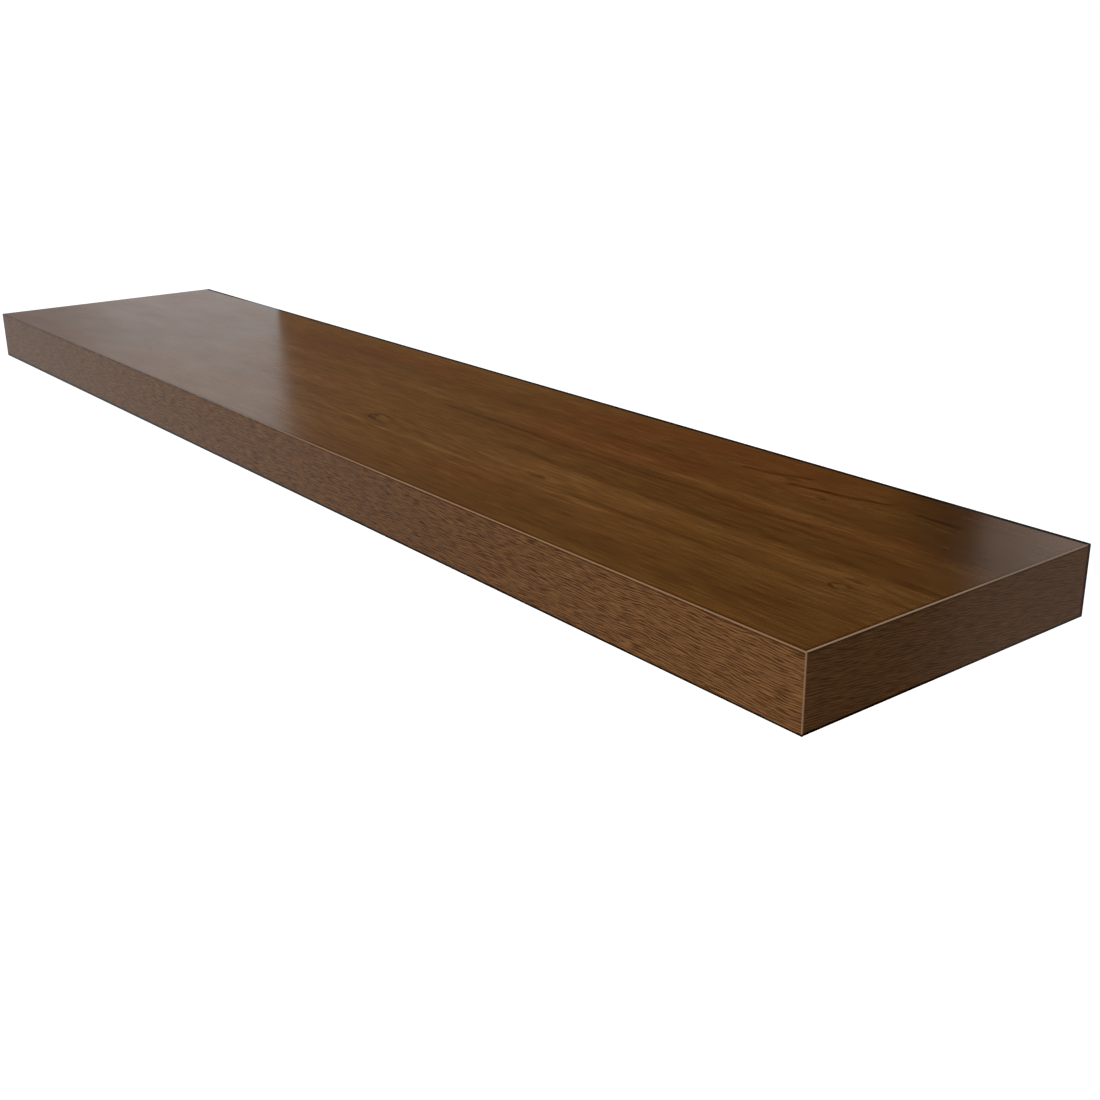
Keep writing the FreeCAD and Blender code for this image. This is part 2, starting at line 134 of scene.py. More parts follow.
class Number:
    """A socket that carries one number. Its operators add Math nodes to its tree."""

    def __init__(self, nodes: "Nodes", socket: Socket) -> None:
        """Wraps a socket of one tree."""
        self.nodes = nodes
        self.socket = socket

    def __add__(self, other: "Value") -> "Number":
        """The sum."""
        return self.nodes.maths("ADD", self, other)

    __radd__ = __add__

    def __sub__(self, other: "Value") -> "Number":
        """The difference."""
        return self.nodes.maths("SUBTRACT", self, other)

    def __rsub__(self, other: "Value") -> "Number":
        """The difference, from the other side."""
        return self.nodes.maths("SUBTRACT", other, self)

    def __mul__(self, other: "Value") -> "Number":
        """The product."""
        return self.nodes.maths("MULTIPLY", self, other)

    __rmul__ = __mul__

    def __truediv__(self, other: "Value") -> "Number":
        """The quotient."""
        return self.nodes.maths("DIVIDE", self, other)

    def __rtruediv__(self, other: "Value") -> "Number":
        """The quotient, from the other side."""
        return self.nodes.maths("DIVIDE", other, self)

    def __abs__(self) -> "Number":
        """The size without its sign."""
        return self.nodes.maths("ABSOLUTE", self)

    def between(self, low: float, high: float) -> "Number":
        """Low where this number is 0 and high where it is 1."""
        return self * (high - low) + low

    def meet(self, other: "Number", share: float) -> "Number":
        """This number, with a share of another one in its place."""
        return self * (1 - share) + other * share


Value = Number | float


@dataclass(frozen=True)
class Layer:
    """A layer of soft noise.

    Attributes:
        x: How many patches a metre holds along the first axis.
        y: The same along the second axis.
        z: The same along the third axis.
        seed: Shifts a pattern that has no third axis.
        detail: How many finer layers go on top.
        roughness: How strong the finer layers are.
        weight: How strongly it shows.
    """

    x: float
    y: float
    z: float = 0.0
    seed: float = 0.0
    detail: float = 2.0
    roughness: float = 0.5
    weight: float = 1.0


class Nodes:
    """Adds nodes to one tree, of a material, of the world or of a Geometry Nodes group."""

    def __init__(self, tree: bpy.types.NodeTree) -> None:
        """Starts on a tree."""
        self.tree = tree

    def feed(self, socket: Socket, value: Any) -> None:
        """Links a value to a socket, or sets the socket to it.

        Args:
            socket: The input to fill.
            value: A Number, another node's socket, or a plain value.
        """
        source = value.socket if isinstance(value, Number) else value
        if isinstance(source, Socket):
            self.tree.links.new(source, socket)
        else:
            socket.default_value = source

    def node(
        self,
        kind: str,
        settings: dict[str, Any] | None = None,
        inputs: dict[Any, Any] | None = None,
    ) -> bpy.types.Node:
        """Adds one node.

        Args:
            kind: The node's type name.
            settings: Its properties, which are set first. "stops" is a ramp's list of (place, colour).
            inputs: A value or link for each named or numbered input.

        Returns:
            The new node.
        """
        made = self.tree.nodes.new(kind)
        for name, value in (settings or {}).items():
            if name == "stops":
                self._set_stops(made.color_ramp, value)
            else:
                setattr(made, name, value)
        for key, value in (inputs or {}).items():
            self.feed(made.inputs[key], value)
        return made

    @staticmethod
    def _set_stops(ramp: bpy.types.ColorRamp, stops: Iterable[tuple[float, Colour]]) -> None:
        """Gives a colour ramp its stops.

        Args:
            ramp: The ramp.
            stops: The place and colour of each stop.
        """
        while len(ramp.elements) > 1:
            ramp.elements.remove(ramp.elements[0])
        for number, (place, colour) in enumerate(stops):
            stop = ramp.elements[0] if number == 0 else ramp.elements.new(place)
            stop.position = place
            stop.color = colour

    def maths(self, operation: str, *values: Value) -> Number:
        """One Math node.

        Args:
            operation: The node's operation.
            values: Its inputs, in order.

        Returns:
            The result.
        """
        made = self.node("ShaderNodeMath", {"operation": operation}, dict(enumerate(values)))
        return Number(self, made.outputs[0])

    def fade(self, value: Number, low: float, high: float) -> Number:
        """A smooth step.

        Args:
            value: The number to follow.
            low: Where the step is 0. It may be the larger of the two.
            high: Where it is 1.

        Returns:
            A number from 0 to 1.
        """
        made = self.node(
            "ShaderNodeMapRange",
            {"interpolation_type": "SMOOTHSTEP"},
            {"Value": value, "From Min": min(low, high), "From Max": max(low, high)},
        )
        step = Number(self, made.outputs[0])
        return 1 - step if low > high else step

    def strip(self, distance: Number, width: float, solid: float = 0.7) -> Number:
        """1 at a border and over a solid share of the width, then softly down to 0."""
        return self.fade(distance, width, width * solid)

    def point(self, x: Value, y: Value, z: Value = 0.0) -> Socket:
        """Three numbers as one vector."""
        return self.node("ShaderNodeCombineXYZ", inputs={0: x, 1: y, 2: z}).outputs[0]

    def noise(self, layer: Layer, x: Number, y: Number, z: Number | None = None) -> Number:
        """Soft noise.

        Args:
            layer: Its pattern.
            x: Place along the first axis, in metres.
            y: Place along the second axis.
            z: Place along the third axis, if it has one.

        Returns:
            A number around 0.5, mostly from 0.3 to 0.7.
        """
        third = layer.seed if z is None else z * layer.z
        inputs = {
            "Vector": self.point(x * layer.x, y * layer.y, third),
            "Scale": 1.0,
            "Detail": layer.detail,
            "Roughness": layer.roughness,
        }
        return Number(self, self.node("ShaderNodeTexNoise", inputs=inputs).outputs["Fac"])

    def waver(self, layer: Layer, x: Number, y: Number, z: Number | None = None) -> Number:
        """Soft noise around 0, as strong as its layer says."""
        return (self.noise(layer, x, y, z) - 0.5) * layer.weight

    def cells(self, x: Number, y: Number, z: Number) -> tuple[Number, Socket]:
        """Scattered cells about one unit across.

        Args:
            x: First coordinate, already scaled to the cells.
            y: Second coordinate.
            z: Third coordinate.

        Returns:
            The distance to the nearest cell's point, and that cell's own random colour.
        """
        made = self.node("ShaderNodeTexVoronoi", inputs={"Vector": self.point(x, y, z), "Scale": 1.0})
        return Number(self, made.outputs["Distance"]), made.outputs["Color"]


class Shader(Nodes):
    """A material under construction."""

    def __init__(self, name: str) -> None:
        """Makes an empty material.

        Args:
            name: The material's name.
        """
        self.material = bpy.data.materials.new(name)
        self.material.use_nodes = True
        super().__init__(self.material.node_tree)
        self.tree.nodes.clear()

    def place(self) -> tuple[Number, Number, Number]:
        """Object coordinates.

        Returns:
            The three coordinates, in metres.
        """
        coordinates = self.node("ShaderNodeTexCoord").outputs["Object"]
        axes = self.node("ShaderNodeSeparateXYZ", inputs={0: coordinates}).outputs
        return Number(self, axes[0]), Number(self, axes[1]), Number(self, axes[2])

    def channel(self, colour: Socket, number: int = 0) -> Number:
        """One channel of a colour."""
        return Number(self, self.node("ShaderNodeSeparateColor", inputs={0: colour}).outputs[number])

    def mix(
        self, factor: Value, under: Socket | Colour, over: Socket | Colour, blend: Blend = Blend.MIX
    ) -> Socket:
        """Lays one colour over another.

        Args:
            factor: The share of the upper colour.
            under: The lower colour.
            over: The upper colour.
            blend: How they mix.

        Returns:
            The mixed colour.
        """
        made = self.node(
            "ShaderNodeMix",
            {"data_type": "RGBA", "blend_type": blend.value, "clamp_factor": True},
            {0: factor, 6: under, 7: over},
        )
        return made.outputs[2]

    def ramp(self, value: Number, stops: Iterable[tuple[float, Colour]]) -> Socket:
        """A colour for each value, between stops."""
        return self.node("ShaderNodeValToRGB", {"stops": stops}, {"Fac": value}).outputs["Color"]

    def bump(self, height: Number, depth: float) -> Socket:
        """The normal of a relief from 0 to 1, which is as deep as given, in metres."""
        inputs = {"Height": height, "Distance": depth, "Strength": 1.0}
        return self.node("ShaderNodeBump", inputs=inputs).outputs["Normal"]

    def end_with(self, surface: Socket) -> Material:
        """Ends the material in a surface."""
        self.node("ShaderNodeOutputMaterial", inputs={"Surface": surface})
        return self.material

    def finish(self, **sockets: Any) -> Material:
        """Ends the material in one Principled surface.

        Args:
            sockets: The surface's inputs, by name in lower case with underscores.

        Returns:
            The material.
        """
        named = {}
        for name, value in sockets.items():
            named[name.replace("_", " ").title().replace("Ior", "IOR")] = value
        return self.end_with(self.node("ShaderNodeBsdfPrincipled", inputs=named).outputs[0])

    def glow(self, colour: Socket) -> Material:
        """Ends the material in a surface that only gives light."""
        light = self.node("ShaderNodeEmission", inputs={"Color": colour, "Strength": 1.0})
        return self.end_with(light.outputs[0])


# --- Finishes ------------------------------------------------------------------------------------------


@dataclass(frozen=True)
class Knot:
    """An eye in the walnut figure.

    Attributes:
        x: Its place along the shelf.
        y: Its place across the shelf.
        length: How long its dark heart is.
        width: How wide its dark heart is.
        push: How much of the grain's run it pushes aside, from 0 to 1.
        hollow: Whether it is pale inside, with a dark rim that opens to the right.
    """

    x: float
    y: float
    length: float = 0.020
    width: float = 0.006
    push: float = 0.7
    hollow: bool = False


@dataclass(frozen=True)
class Streak:
    """A long streak in the walnut figure.

    Attributes:
        y: Its place across the shelf, where it starts.
        width: How far its edge is from its middle.
        tone: How much lighter it is than the wood round it; below 0 it is darker.
        start: Where it starts along the shelf.
        stop: Where it stops.
        rise: How far across the shelf it gets from start to stop.
        bow: How far its middle bends away from its ends.
    """

    y: float
    width: float
    tone: float
    start: float = -0.8
    stop: float = 0.8
    rise: float = 0.0
    bow: float = 0.0


@dataclass(frozen=True)
class WalnutLaminate:
    """Walnut decor paper under a satin overlay, for the top.

    Attributes:
        box: The laminate's two corners.
        back_strip_width: How wide the dark strip along the back edge is.
        border_strip_width: How wide the darker strip beside the bands is.
        dull_edge: How far from the middle the dark strip at the back goes from satin to dull.
        painted_shade_end: Where along the shelf the painted shade at the front left goes from none to full.
        painted_shade_front: Where across the shelf it does so.
        painted_shade_share: How dark the painted shade gets where the two meet.
        lean: Painted light: how much lighter the figure gets with each metre along the shelf, which makes the
            top lighter towards its left end.
        quiet: Where along the shelf the figure goes from quiet to full.
        quiet_share: How much of the figure shows where it is quiet.
        lift: How much lighter the figure is where it is full.
        level: How light the wood is without its figure.
        wander: How far the grain wanders across the shelf, in metres.
        ragged: How far the streaks' edges wander, in metres.
        rough: How the knots' edges wander.
        knot_reach: How much larger than its heart the part of the grain is that a knot bends.
        hollow_rim: Where the dark rim of a hollow knot begins and ends outwards.
        hollow_bore: The same inwards.
        hollow_side: The same to the right, where it opens.
        hollow_heart: Where its pale inside begins and ends.
        eye: Where the heart of a plain knot begins and ends.
        streak_end: How long a streak takes to fade out at each end, as a share of its length.
        streak_core: How much of a streak's width is full.
    """

    box: tuple[Vector, Vector]
    dark: Colour = paint(66, 38, 11)
    middle: Colour = paint(95, 61, 24)
    light: Colour = paint(122, 84, 44)
    red: Colour = paint(255, 222, 226)
    # Dark tone of the strips beside the bands and along the back edge, and of the painted shade at the front
    # left.
    dark_strips_and_shade: Colour = paint(28, 16, 8)
    back_strip_width: float = 0.0044
    border_strip_width: float = 0.0030
    border_strip_core: float = 0.4
    border_strip_share: float = 0.45
    dull_edge: Span = (0.48, 0.56)
    dull_share: float = 0.6
    painted_shade_end: Span = (0.0, -0.60)
    painted_shade_front: Span = (-0.10, -0.24)
    painted_shade_share: float = 0.25
    lean: float = -0.09
    quiet: Span = (-0.62, 0.10)
    quiet_share: float = 0.7
    lift: float = 0.15
    level: float = 0.35
    stops: tuple[float, float, float] = (0.28, 0.5, 0.72)
    wander: Layer = Layer(1.8, 6, seed=3.1, weight=0.024)
    bands: Layer = Layer(1.4, 24, detail=1, weight=0.21)
    lines: Layer = Layer(7, 260, seed=7.7, detail=3, roughness=0.65, weight=0.17)
    fibres: Layer = Layer(40, 900, seed=1.3, weight=0.46)
    clouds: Layer = Layer(14, 60, seed=2.9, weight=0.10)
    reddish: Layer = Layer(3.4, 15, seed=5.5, detail=1, weight=0.6)
    reddish_step: Span = (0.48, 0.72)
    ragged: Layer = Layer(22, 120, seed=6.6, weight=0.008)
    rough: Layer = Layer(130, 260, seed=8.8, weight=2.4)
    overlay: Layer = Layer(700, 700, seed=4.0, detail=1, weight=0.4)
    smudges: Layer = Layer(11, 24, seed=3.1, detail=3, roughness=0.6, weight=0.16)
    depth: float = 0.000004
    roughness: float = 0.25
    lines_roughness: float = 0.06
    heart_tone: float = -0.18
    halo_tone: float = 0.06
    knot_reach: float = 2.4
    hollow_rim: Span = (1.9, 1.1)
    hollow_bore: Span = (0.4, 1.0)
    hollow_side: Span = (0.9, -0.3)
    hollow_heart: Span = (0.9, 0.1)
    eye: Span = (1.5, 0.1)
    streak_end: float = 0.18
    streak_core: float = 0.15
    knots: tuple[Knot, ...] = (
        Knot(x=0.074, y=-0.171, length=0.032, width=0.013, push=0.4, hollow=True),
        Knot(x=0.282, y=-0.172, length=0.024, width=0.0060),
        Knot(x=0.563, y=-0.172, length=0.016, width=0.008, push=0.4, hollow=True),
        Knot(x=0.562, y=-0.158, length=0.018, width=0.0055, push=0.5),
        Knot(x=0.404, y=-0.041, length=0.020, width=0.005),
        Knot(x=0.446, y=-0.058, length=0.014, width=0.004),
    )
    streaks: tuple[Streak, ...] = (
        Streak(y=-0.096, width=0.008, tone=0.05),
        Streak(y=-0.110, width=0.0045, tone=-0.08, start=0.04),
        Streak(y=-0.145, width=0.0050, tone=-0.07, start=0.16),
        Streak(y=-0.160, width=0.010, tone=0.04, start=0.24),
        Streak(y=-0.173, width=0.0034, tone=-0.08, start=0.31, stop=0.57, rise=0.003, bow=-0.006),
        Streak(y=-0.179, width=0.0030, tone=0.08, start=0.02, stop=0.40, rise=-0.004),
        Streak(y=-0.048, width=0.0026, tone=-0.18, start=0.355, stop=0.416, rise=0.008, bow=-0.002),
        Streak(y=-0.051, width=0.0028, tone=-0.18, start=0.404, stop=0.490, rise=0.013, bow=-0.005),
        Streak(y=-0.042, width=0.0030, tone=-0.14, start=0.506, stop=0.545),
        Streak(y=-0.205, width=0.020, tone=0.03, start=-0.4, stop=0.5),
        Streak(y=-0.236, width=0.014, tone=-0.03, start=0.20),
        Streak(y=-0.072, width=0.009, tone=-0.04, start=0.02, stop=0.30, bow=0.008),
        Streak(y=-0.122, width=0.0020, tone=-0.08, start=0.10, stop=0.62, bow=0.003),
        Streak(y=-0.087, width=0.0020, tone=0.06, start=-0.22, stop=0.34, bow=0.002),
    )

    def material(self) -> Material:
        """Builds the laminate.

        Returns:
            The material.
        """
        shader = Shader("walnut_laminate")
        x, y, _ = shader.place()
        grain, heart, halo = self._around_knots(shader, x, y)
        across = grain + shader.waver(self.wander, x, y)
        lines = shader.noise(self.lines, x, across)
        fibres = shader.noise(self.fibres, x, across)
        figure = shader.waver(self.bands, x, across) + (lines - 0.5) * self.lines.weight
        figure = figure + (fibres - 0.5) * self.fibres.weight + shader.waver(self.clouds, x, across)
        figure = figure + heart * self.heart_tone + halo * self.halo_tone
        figure = figure + self._streak_tone(shader, x, grain)
        voice = shader.fade(x, *self.quiet).between(self.quiet_share, 1)
        # Painted light: x * lean makes the top lighter towards its left end.
        tone = (figure + self.lift) * voice + x * self.lean + self.level
        colour = shader.ramp(tone, tuple(zip(self.stops, (self.dark, self.middle, self.light))))
        redness = shader.fade(shader.noise(self.reddish, x, across), *self.reddish_step)
        colour = shader.mix(redness * self.reddish.weight, colour, self.red, Blend.MULTIPLY)
        low, high = self.box
        # The top is darker in a strip beside the front and right end bands, and in one along its back edge.
        front_border_strip = shader.strip(y - low.y, self.border_strip_width, self.border_strip_core)
        end_border_strip = shader.strip(high.x - x, self.border_strip_width, self.border_strip_core)
        border_strip = shader.maths("MAXIMUM", front_border_strip, end_border_strip)
        back_strip = shader.strip(0.0 - y, self.back_strip_width)
        # Painted shade: the front left of the top is darkened to tone down its sheen.
        darker = shader.fade(x, *self.painted_shade_end) * shader.fade(y, *self.painted_shade_front)
        for share in (border_strip * self.border_strip_share, back_strip, darker * self.painted_shade_share):
            colour = shader.mix(share, colour, self.dark_strips_and_shade)
        overlay = shader.noise(self.overlay, x, y)
        normal = shader.bump(fibres.meet(overlay, self.overlay.weight), self.depth)
        dull = back_strip * shader.fade(abs(x), *self.dull_edge) * self.dull_share
        roughness = (lines - 0.5) * self.lines_roughness + shader.waver(self.smudges, x, y) + dull
        return shader.finish(base_color=colour, roughness=roughness + self.roughness, normal=normal)

    def _around_knots(self, shader: Shader, x: Number, y: Number) -> tuple[Number, Number, Number]:
        """Bends the grain round every knot.

        Args:
            shader: The material under construction.
            x: Place along the shelf.
            y: Place across the shelf.

        Returns:
            The place across the bent grain, then how far inside a knot's dark heart it is and how near to
            one, both from 0 to 1.
        """
        rough = shader.waver(self.rough, x, y)
        grain = y
        heart: Value = 0.0
        halo: Value = 0.0
        for knot in self.knots:
            along = (x - knot.x) / (knot.length * self.knot_reach)
            over = (y - knot.y) / (knot.width * self.knot_reach)
            nearness = 1 / (1 + along * along + over * over)
            grain = grain - (y - knot.y) * nearness * knot.push
            inside = (x - knot.x) / (knot.length / 2)
            aside = (y - knot.y) / (knot.width / 2)
            shape = inside * inside + aside * aside + rough
            if knot.hollow:
                rim = shader.fade(shape, *self.hollow_rim) * shader.fade(shape, *self.hollow_bore)
                heart = heart + rim * shader.fade(inside, *self.hollow_side)
                halo = halo + shader.fade(shape, *self.hollow_heart)
            else:
                heart = heart + shader.fade(shape, *self.eye)
                halo = halo + nearness * nearness
        return grain, heart, halo

    def _streak_tone(self, shader: Shader, x: Number, grain: Number) -> Number:
        """Adds the long streaks up.

        Args:
            shader: The material under construction.
            x: Place along the shelf.
            grain: Place across the bent grain.

        Returns:
            How much lighter they make the wood.
        """
        ragged = grain + shader.waver(self.ragged, x, grain)
        total: Value = 0.0
        for streak in self.streaks:
            middle, half = (streak.start + streak.stop) / 2, (streak.stop - streak.start) / 2
            share = (x - middle) / half
            centre = (share + 1) * (streak.rise / 2) + (1 - share * share) * streak.bow + streak.y
            near = shader.strip(abs(ragged - centre), streak.width, self.streak_core)
            reach = shader.strip(abs(share), 1, 1 - self.streak_end)
            total = total + near * reach * streak.tone
        return total


@dataclass(frozen=True)
class EmbossedBand:
    """Walnut edge band with embossed grain and painted shade, and its pale core where the arrises are
    trimmed, brightened into a painted highlight.

    Attributes:
        name: The material's name.
        grain: The way that the grain runs.
        slope: How much the grain falls over its run.
        contrast: How strongly the embossing shows.
        dim: How much painted shade darkens the band in its left half, and at its right end.
        core: The pale core on the trimmed arris at the top, brightened into a painted highlight.
        bare: Where along the shelf the core and its painted highlight start to show, and where they show in
            full.
        shaded_bottom: How wide the painted shade on the lower arris is, at the left and the right of the
            shelf.
        dark_side: How wide the darker strip on the upright arris is.
        corner: The pale core on the upright arris at the right.
        rim: How wide the trimmed arris looks.
        shade: How far below the top the darker strip under it goes from dark to clear.
        shade_shares: How dark that strip is beside a covered core and beside a bare one.
        line_pitch: How far apart the embossed lines are.
        wave: How far the lines wander, in metres.
        stir: How far the lines are out of step, in lines.
        broken: Where the lines stop and start.
        fibre_tone: How much of the colour comes from the fibres, and not from the ridges.
        fibre_relief: The same of the relief.
        dim_start: Where the painted shade starts to fade, as a share of the way to its right end.
        quiet_share: How much of the embossing shows at the left.
    """

    name: str
    grain: Grain
    slope: float
    contrast: float
    dim: Span
    core: Colour
    bare: Span
    shaded_bottom: Span
    dark_side: float
    corner: Colour = paint(137, 105, 78)
    rim: float = 0.0006
    shade: Span = (0.0022, 0.0007)
    shade_shares: Span = (0.3, 0.6)
    # Valleys are darker and ridges lighter: partly the print's grain, partly painted shade and painted
    # highlight of the embossed relief.
    valley: Colour = paint(67, 40, 20)
    ridge: Colour = paint(122, 84, 50)
    # Dark tone of the painted shade, of the strip under the top arris and of the darker strip on the upright
    # arris.
    shade_and_edge_dark: Colour = paint(16, 9, 6)
    line_pitch: float = 0.0016
    wave: Layer = Layer(24, 20, seed=2.5, detail=1, weight=0.004)
    stir: Layer = Layer(70, 160, seed=4.4, detail=1, weight=2.0)
    broken: Layer = Layer(80, 1187.5, seed=7.7, detail=1)
    row_share: float = 0.20
    ridge_step: Span = (0.34, 0.62)
    fibres: Layer = Layer(90, 1600, seed=8.0)
    fibre_step: Span = (0.38, 0.62)
    fibre_tone: float = 0.5
    fibre_relief: float = 0.35
    depth: float = 0.00005
    roughness: float = 0.17
    valley_roughness: float = 0.05
    dark_arris_gloss: float = 0.08
    specular: float = 0.3
    dim_start: float = 0.3
    quiet_share: float = 0.70

    def material(self, far: Vector) -> Material:
        """Builds the band.

        Args:
            far: The far top corner of the shelf.

        Returns:
            The material.
        """
        shader = Shader(self.name)
        x, y, z = shader.place()
        along = x if self.grain is Grain.ALONG_SHELF else y
        height = z + along * self.slope
        wavy = height + shader.waver(self.wave, along, height)
        turns = wavy / self.line_pitch + shader.waver(self.stir, along, height)
        rows = shader.maths("SINE", turns * math.tau)
        broken = shader.noise(self.broken, along, wavy)
        ridges = shader.fade(rows * self.row_share + broken, *self.ridge_step)
        fibres = shader.fade(shader.noise(self.fibres, along, wavy), *self.fibre_step)
        voice = shader.fade(x, -far.x, 0.0).between(self.quiet_share, 1) * self.contrast
        tone = (ridges.meet(fibres, self.fibre_tone) - 0.5) * voice + 0.5
        # Painted shade and highlight of the relief, on top of the printed grain.
        colour = shader.mix(tone, self.valley, self.ridge)
        # Painted shade: the front band is darker except near its right end, and the end bands are a little
        # darker all over.
        dimmed = shader.fade(x, far.x * self.dim_start, far.x).between(*self.dim)
        colour = shader.mix(dimmed, colour, self.shade_and_edge_dark)
        colour, dark_arrises = self._arrises(shader, colour, far)
        relief = ridges.meet(fibres, self.fibre_relief) * voice * (1 - dark_arrises)
        return shader.finish(
            base_color=colour,
            roughness=self.roughness + (1 - ridges) * self.valley_roughness - dark_arrises * self.dark_arris_gloss,
            specular_ior_level=self.specular,
            normal=shader.bump(relief, self.depth),
        )

    def _arrises(self, shader: Shader, colour: Socket, far: Vector) -> tuple[Socket, Number]:
        """Shows the pale core on the trimmed arrises, brightened into a painted highlight, with painted shade
        under the top arris and on the lower one, and a darker strip on the upright one.

        Args:
            shader: The material under construction.
            colour: The band's face colour.
            far: The far top corner of the shelf.

        Returns:
            The colour with its arrises, and how dark a place on the lower or upright arris is, from 0 to 1.
        """
        x, y, z = shader.place()
        # Painted highlight: the pale core is brightened, and on the front band it shows only towards the
        # right end.
        bare = shader.fade(x, *self.bare)
        under = shader.fade(far.z - z, *self.shade) * bare.between(*self.shade_shares)
        colour = shader.mix(under, colour, self.shade_and_edge_dark)
        colour = shader.mix(shader.strip(far.z - z, self.rim) * bare, colour, self.core)
        if self.grain is Grain.ALONG_SHELF:
            colour = shader.mix(shader.strip(far.x - x, self.rim), colour, self.corner)
            beside = shader.strip(x + far.x, self.dark_side)
        else:
            beside = shader.strip(0.0 - y, self.dark_side)
        # Painted shade on the lower arris, and a darker strip on the upright one.
        left, right = self.shaded_bottom
        width = ((1 - x / far.x) / 2).between(right, left)
        dark_arrises = shader.maths("MAXIMUM", shader.strip((z + far.z) / width, 1), beside)
        return shader.mix(dark_arrises, colour, self.shade_and_edge_dark), dark_arrises


@dataclass(frozen=True)
class Particleboard:
    """Pressed wood chips, for the frame and the ribs.

    Attributes:
        chip: How thick a chip is.
        long: How many times as long a big chip is.
        flat: How many times as thin a small chip is.
        shift: How far off the small chips are from the big ones, in chips.
        stir: How far the chips are pushed about, in chips.
        hollow: Where the gaps between chips begin and end.
        hollow_shade_share: How much painted shade darkens the gaps.
        small_relief: How far the small chips stand out.
        hollow_relief: How deep the gaps are.
    """

    straw: Colour = paint(214, 184, 140)
    tan: Colour = paint(192, 156, 110)
    brown: Colour = paint(148, 110, 70)
    # Painted shade in the hollows between chips.
    hollow_shade: Colour = paint(112, 80, 50)
    stops: tuple[float, float, float] = (0.1, 0.4, 0.8)
    chip: float = 0.0011
    long: float = 3.0
    flat: float = 2.0
    shift: float = 9.0
    stir: Layer = Layer(420, 420, 420, detail=1, weight=2.2)
    hollow: Span = (0.42, 0.66)
    hollow_shade_share: float = 0.55
    fibres: Layer = Layer(1200, 1200, 3600, weight=0.25)
    fibre_step: Span = (0.6, 0.35)
    small_relief: float = 0.3
    hollow_relief: float = 0.7
    depth: float = 0.00012
    roughness: float = 0.8

    def material(self) -> Material:
        """Builds the particleboard.

        Returns:
            The material.
        """
        shader = Shader("particleboard")
        x, y, z = shader.place()
        stir = shader.waver(self.stir, x, y, z)
        length = self.chip * self.long
        big, shade = shader.cells(x / length + stir, y / length + stir, z / self.chip + stir)
        thin = self.chip / self.flat
        small, fleck = shader.cells(x / self.chip + stir, y / self.chip + self.shift, z / thin)
        tone = shader.channel(shade).meet(shader.channel(fleck, 1), 0.5)
        colour = shader.ramp(tone, tuple(zip(self.stops, (self.brown, self.tan, self.straw))))
        hollow = shader.fade(big.meet(small, 0.5), *self.hollow)
        # Painted shade in the hollows between chips.
        colour = shader.mix(hollow * self.hollow_shade_share, colour, self.hollow_shade)
        fibres = shader.fade(shader.noise(self.fibres, x, y, z), *self.fibre_step)
        colour = shader.mix(fibres * self.fibres.weight, colour, self.brown)
        relief = 1 - hollow * self.hollow_relief - small * self.small_relief
        normal = shader.bump(relief, self.depth)
        return shader.finish(base_color=colour, roughness=self.roughness, normal=normal)


@dataclass(frozen=True)
class TwoTone:
    """A finish of two tones in patches, with a fine relief.

    Attributes:
        name: The material's name.
        dark: The darker tone.
        light: The lighter tone.
        patches: The layer that the tones follow.
        texture: The layer that the relief follows.
        roughness: How rough it is.
        depth: How deep the relief is.
        step: Where in its layer the light tone begins, and where it is full.
        light_share: How much of the light tone shows where it is full.
        texture_share: How far the tones follow the texture and not the patches.
        patches_roughness: How much rougher the patches make it.
        texture_roughness: How much rougher the texture makes it.
        metallic: 1 for bare metal.
    """

    name: str
    dark: Colour
    light: Colour
    patches: Layer
    texture: Layer
    roughness: float
    depth: float
    step: Span = (0.36, 0.64)
    light_share: float = 1.0
    texture_share: float = 0.0
    patches_roughness: float = 0.0
    texture_roughness: float = 0.0
    metallic: float = 0.0

    def material(self) -> Material:
        """Builds the finish.

        Returns:
            The material.
        """
        shader = Shader(self.name)
        place = shader.place()
        patches, texture = shader.noise(self.patches, *place), shader.noise(self.texture, *place)
        figure = patches.meet(texture, self.texture_share) if self.texture_share else patches
        light = shader.fade(figure, *self.step) * self.light_share
        roughness: Value = self.roughness
        for layer, weight in ((patches, self.patches_roughness), (texture, self.texture_roughness)):
            if weight:
                roughness = (layer - 0.5) * weight + roughness
        return shader.finish(
            base_color=shader.mix(light, self.dark, self.light),
            metallic=self.metallic,
            roughness=roughness,
            normal=shader.bump(texture, self.depth),
        )


BACKING_LAMINATE = TwoTone(
    name="backing_laminate",
    dark=paint(60, 40, 25),
    light=paint(88, 60, 38),
    patches=Layer(5, 90, 90, detail=3),
    texture=Layer(900, 900, 900, detail=1),
    roughness=0.55,
    depth=0.00002,
    step=(0.38, 0.62),
    texture_share=0.2,
    texture_roughness=0.15,
)
FIBREBOARD = TwoTone(
    name="fibreboard",
    dark=paint(96, 68, 44),
    light=paint(124, 92, 62),
    patches=Layer(40, 40, 900),
    texture=Layer(1400, 1400, 2600, detail=3, roughness=0.65),
    roughness=0.75,
    depth=0.00008,
    texture_share=0.6,
)
KRAFT_PAPER = TwoTone(
    name="kraft_paper",
    dark=paint(160, 126, 88),
    light=paint(190, 158, 116),
    patches=Layer(500, 500, 90, detail=3, roughness=0.6),
    texture=Layer(500, 500, 90, detail=3, roughness=0.6),
    roughness=0.85,
    depth=0.00004,
)
BRASS = TwoTone(
    name="brass",
    dark=paint(176, 134, 66),
    light=paint(214, 172, 92),
    patches=Layer(420, 420, 420, detail=3),
    texture=Layer(30, 30, 5555.6),
    roughness=0.34,
    depth=0.00001,
    step=(0.38, 0.62),
    patches_roughness=0.3,
    metallic=1.0,
)
BLACK_OXIDE = replace(
    BRASS, name="black_oxide", dark=paint(40, 40, 43), light=paint(62, 62, 66), roughness=0.42
)
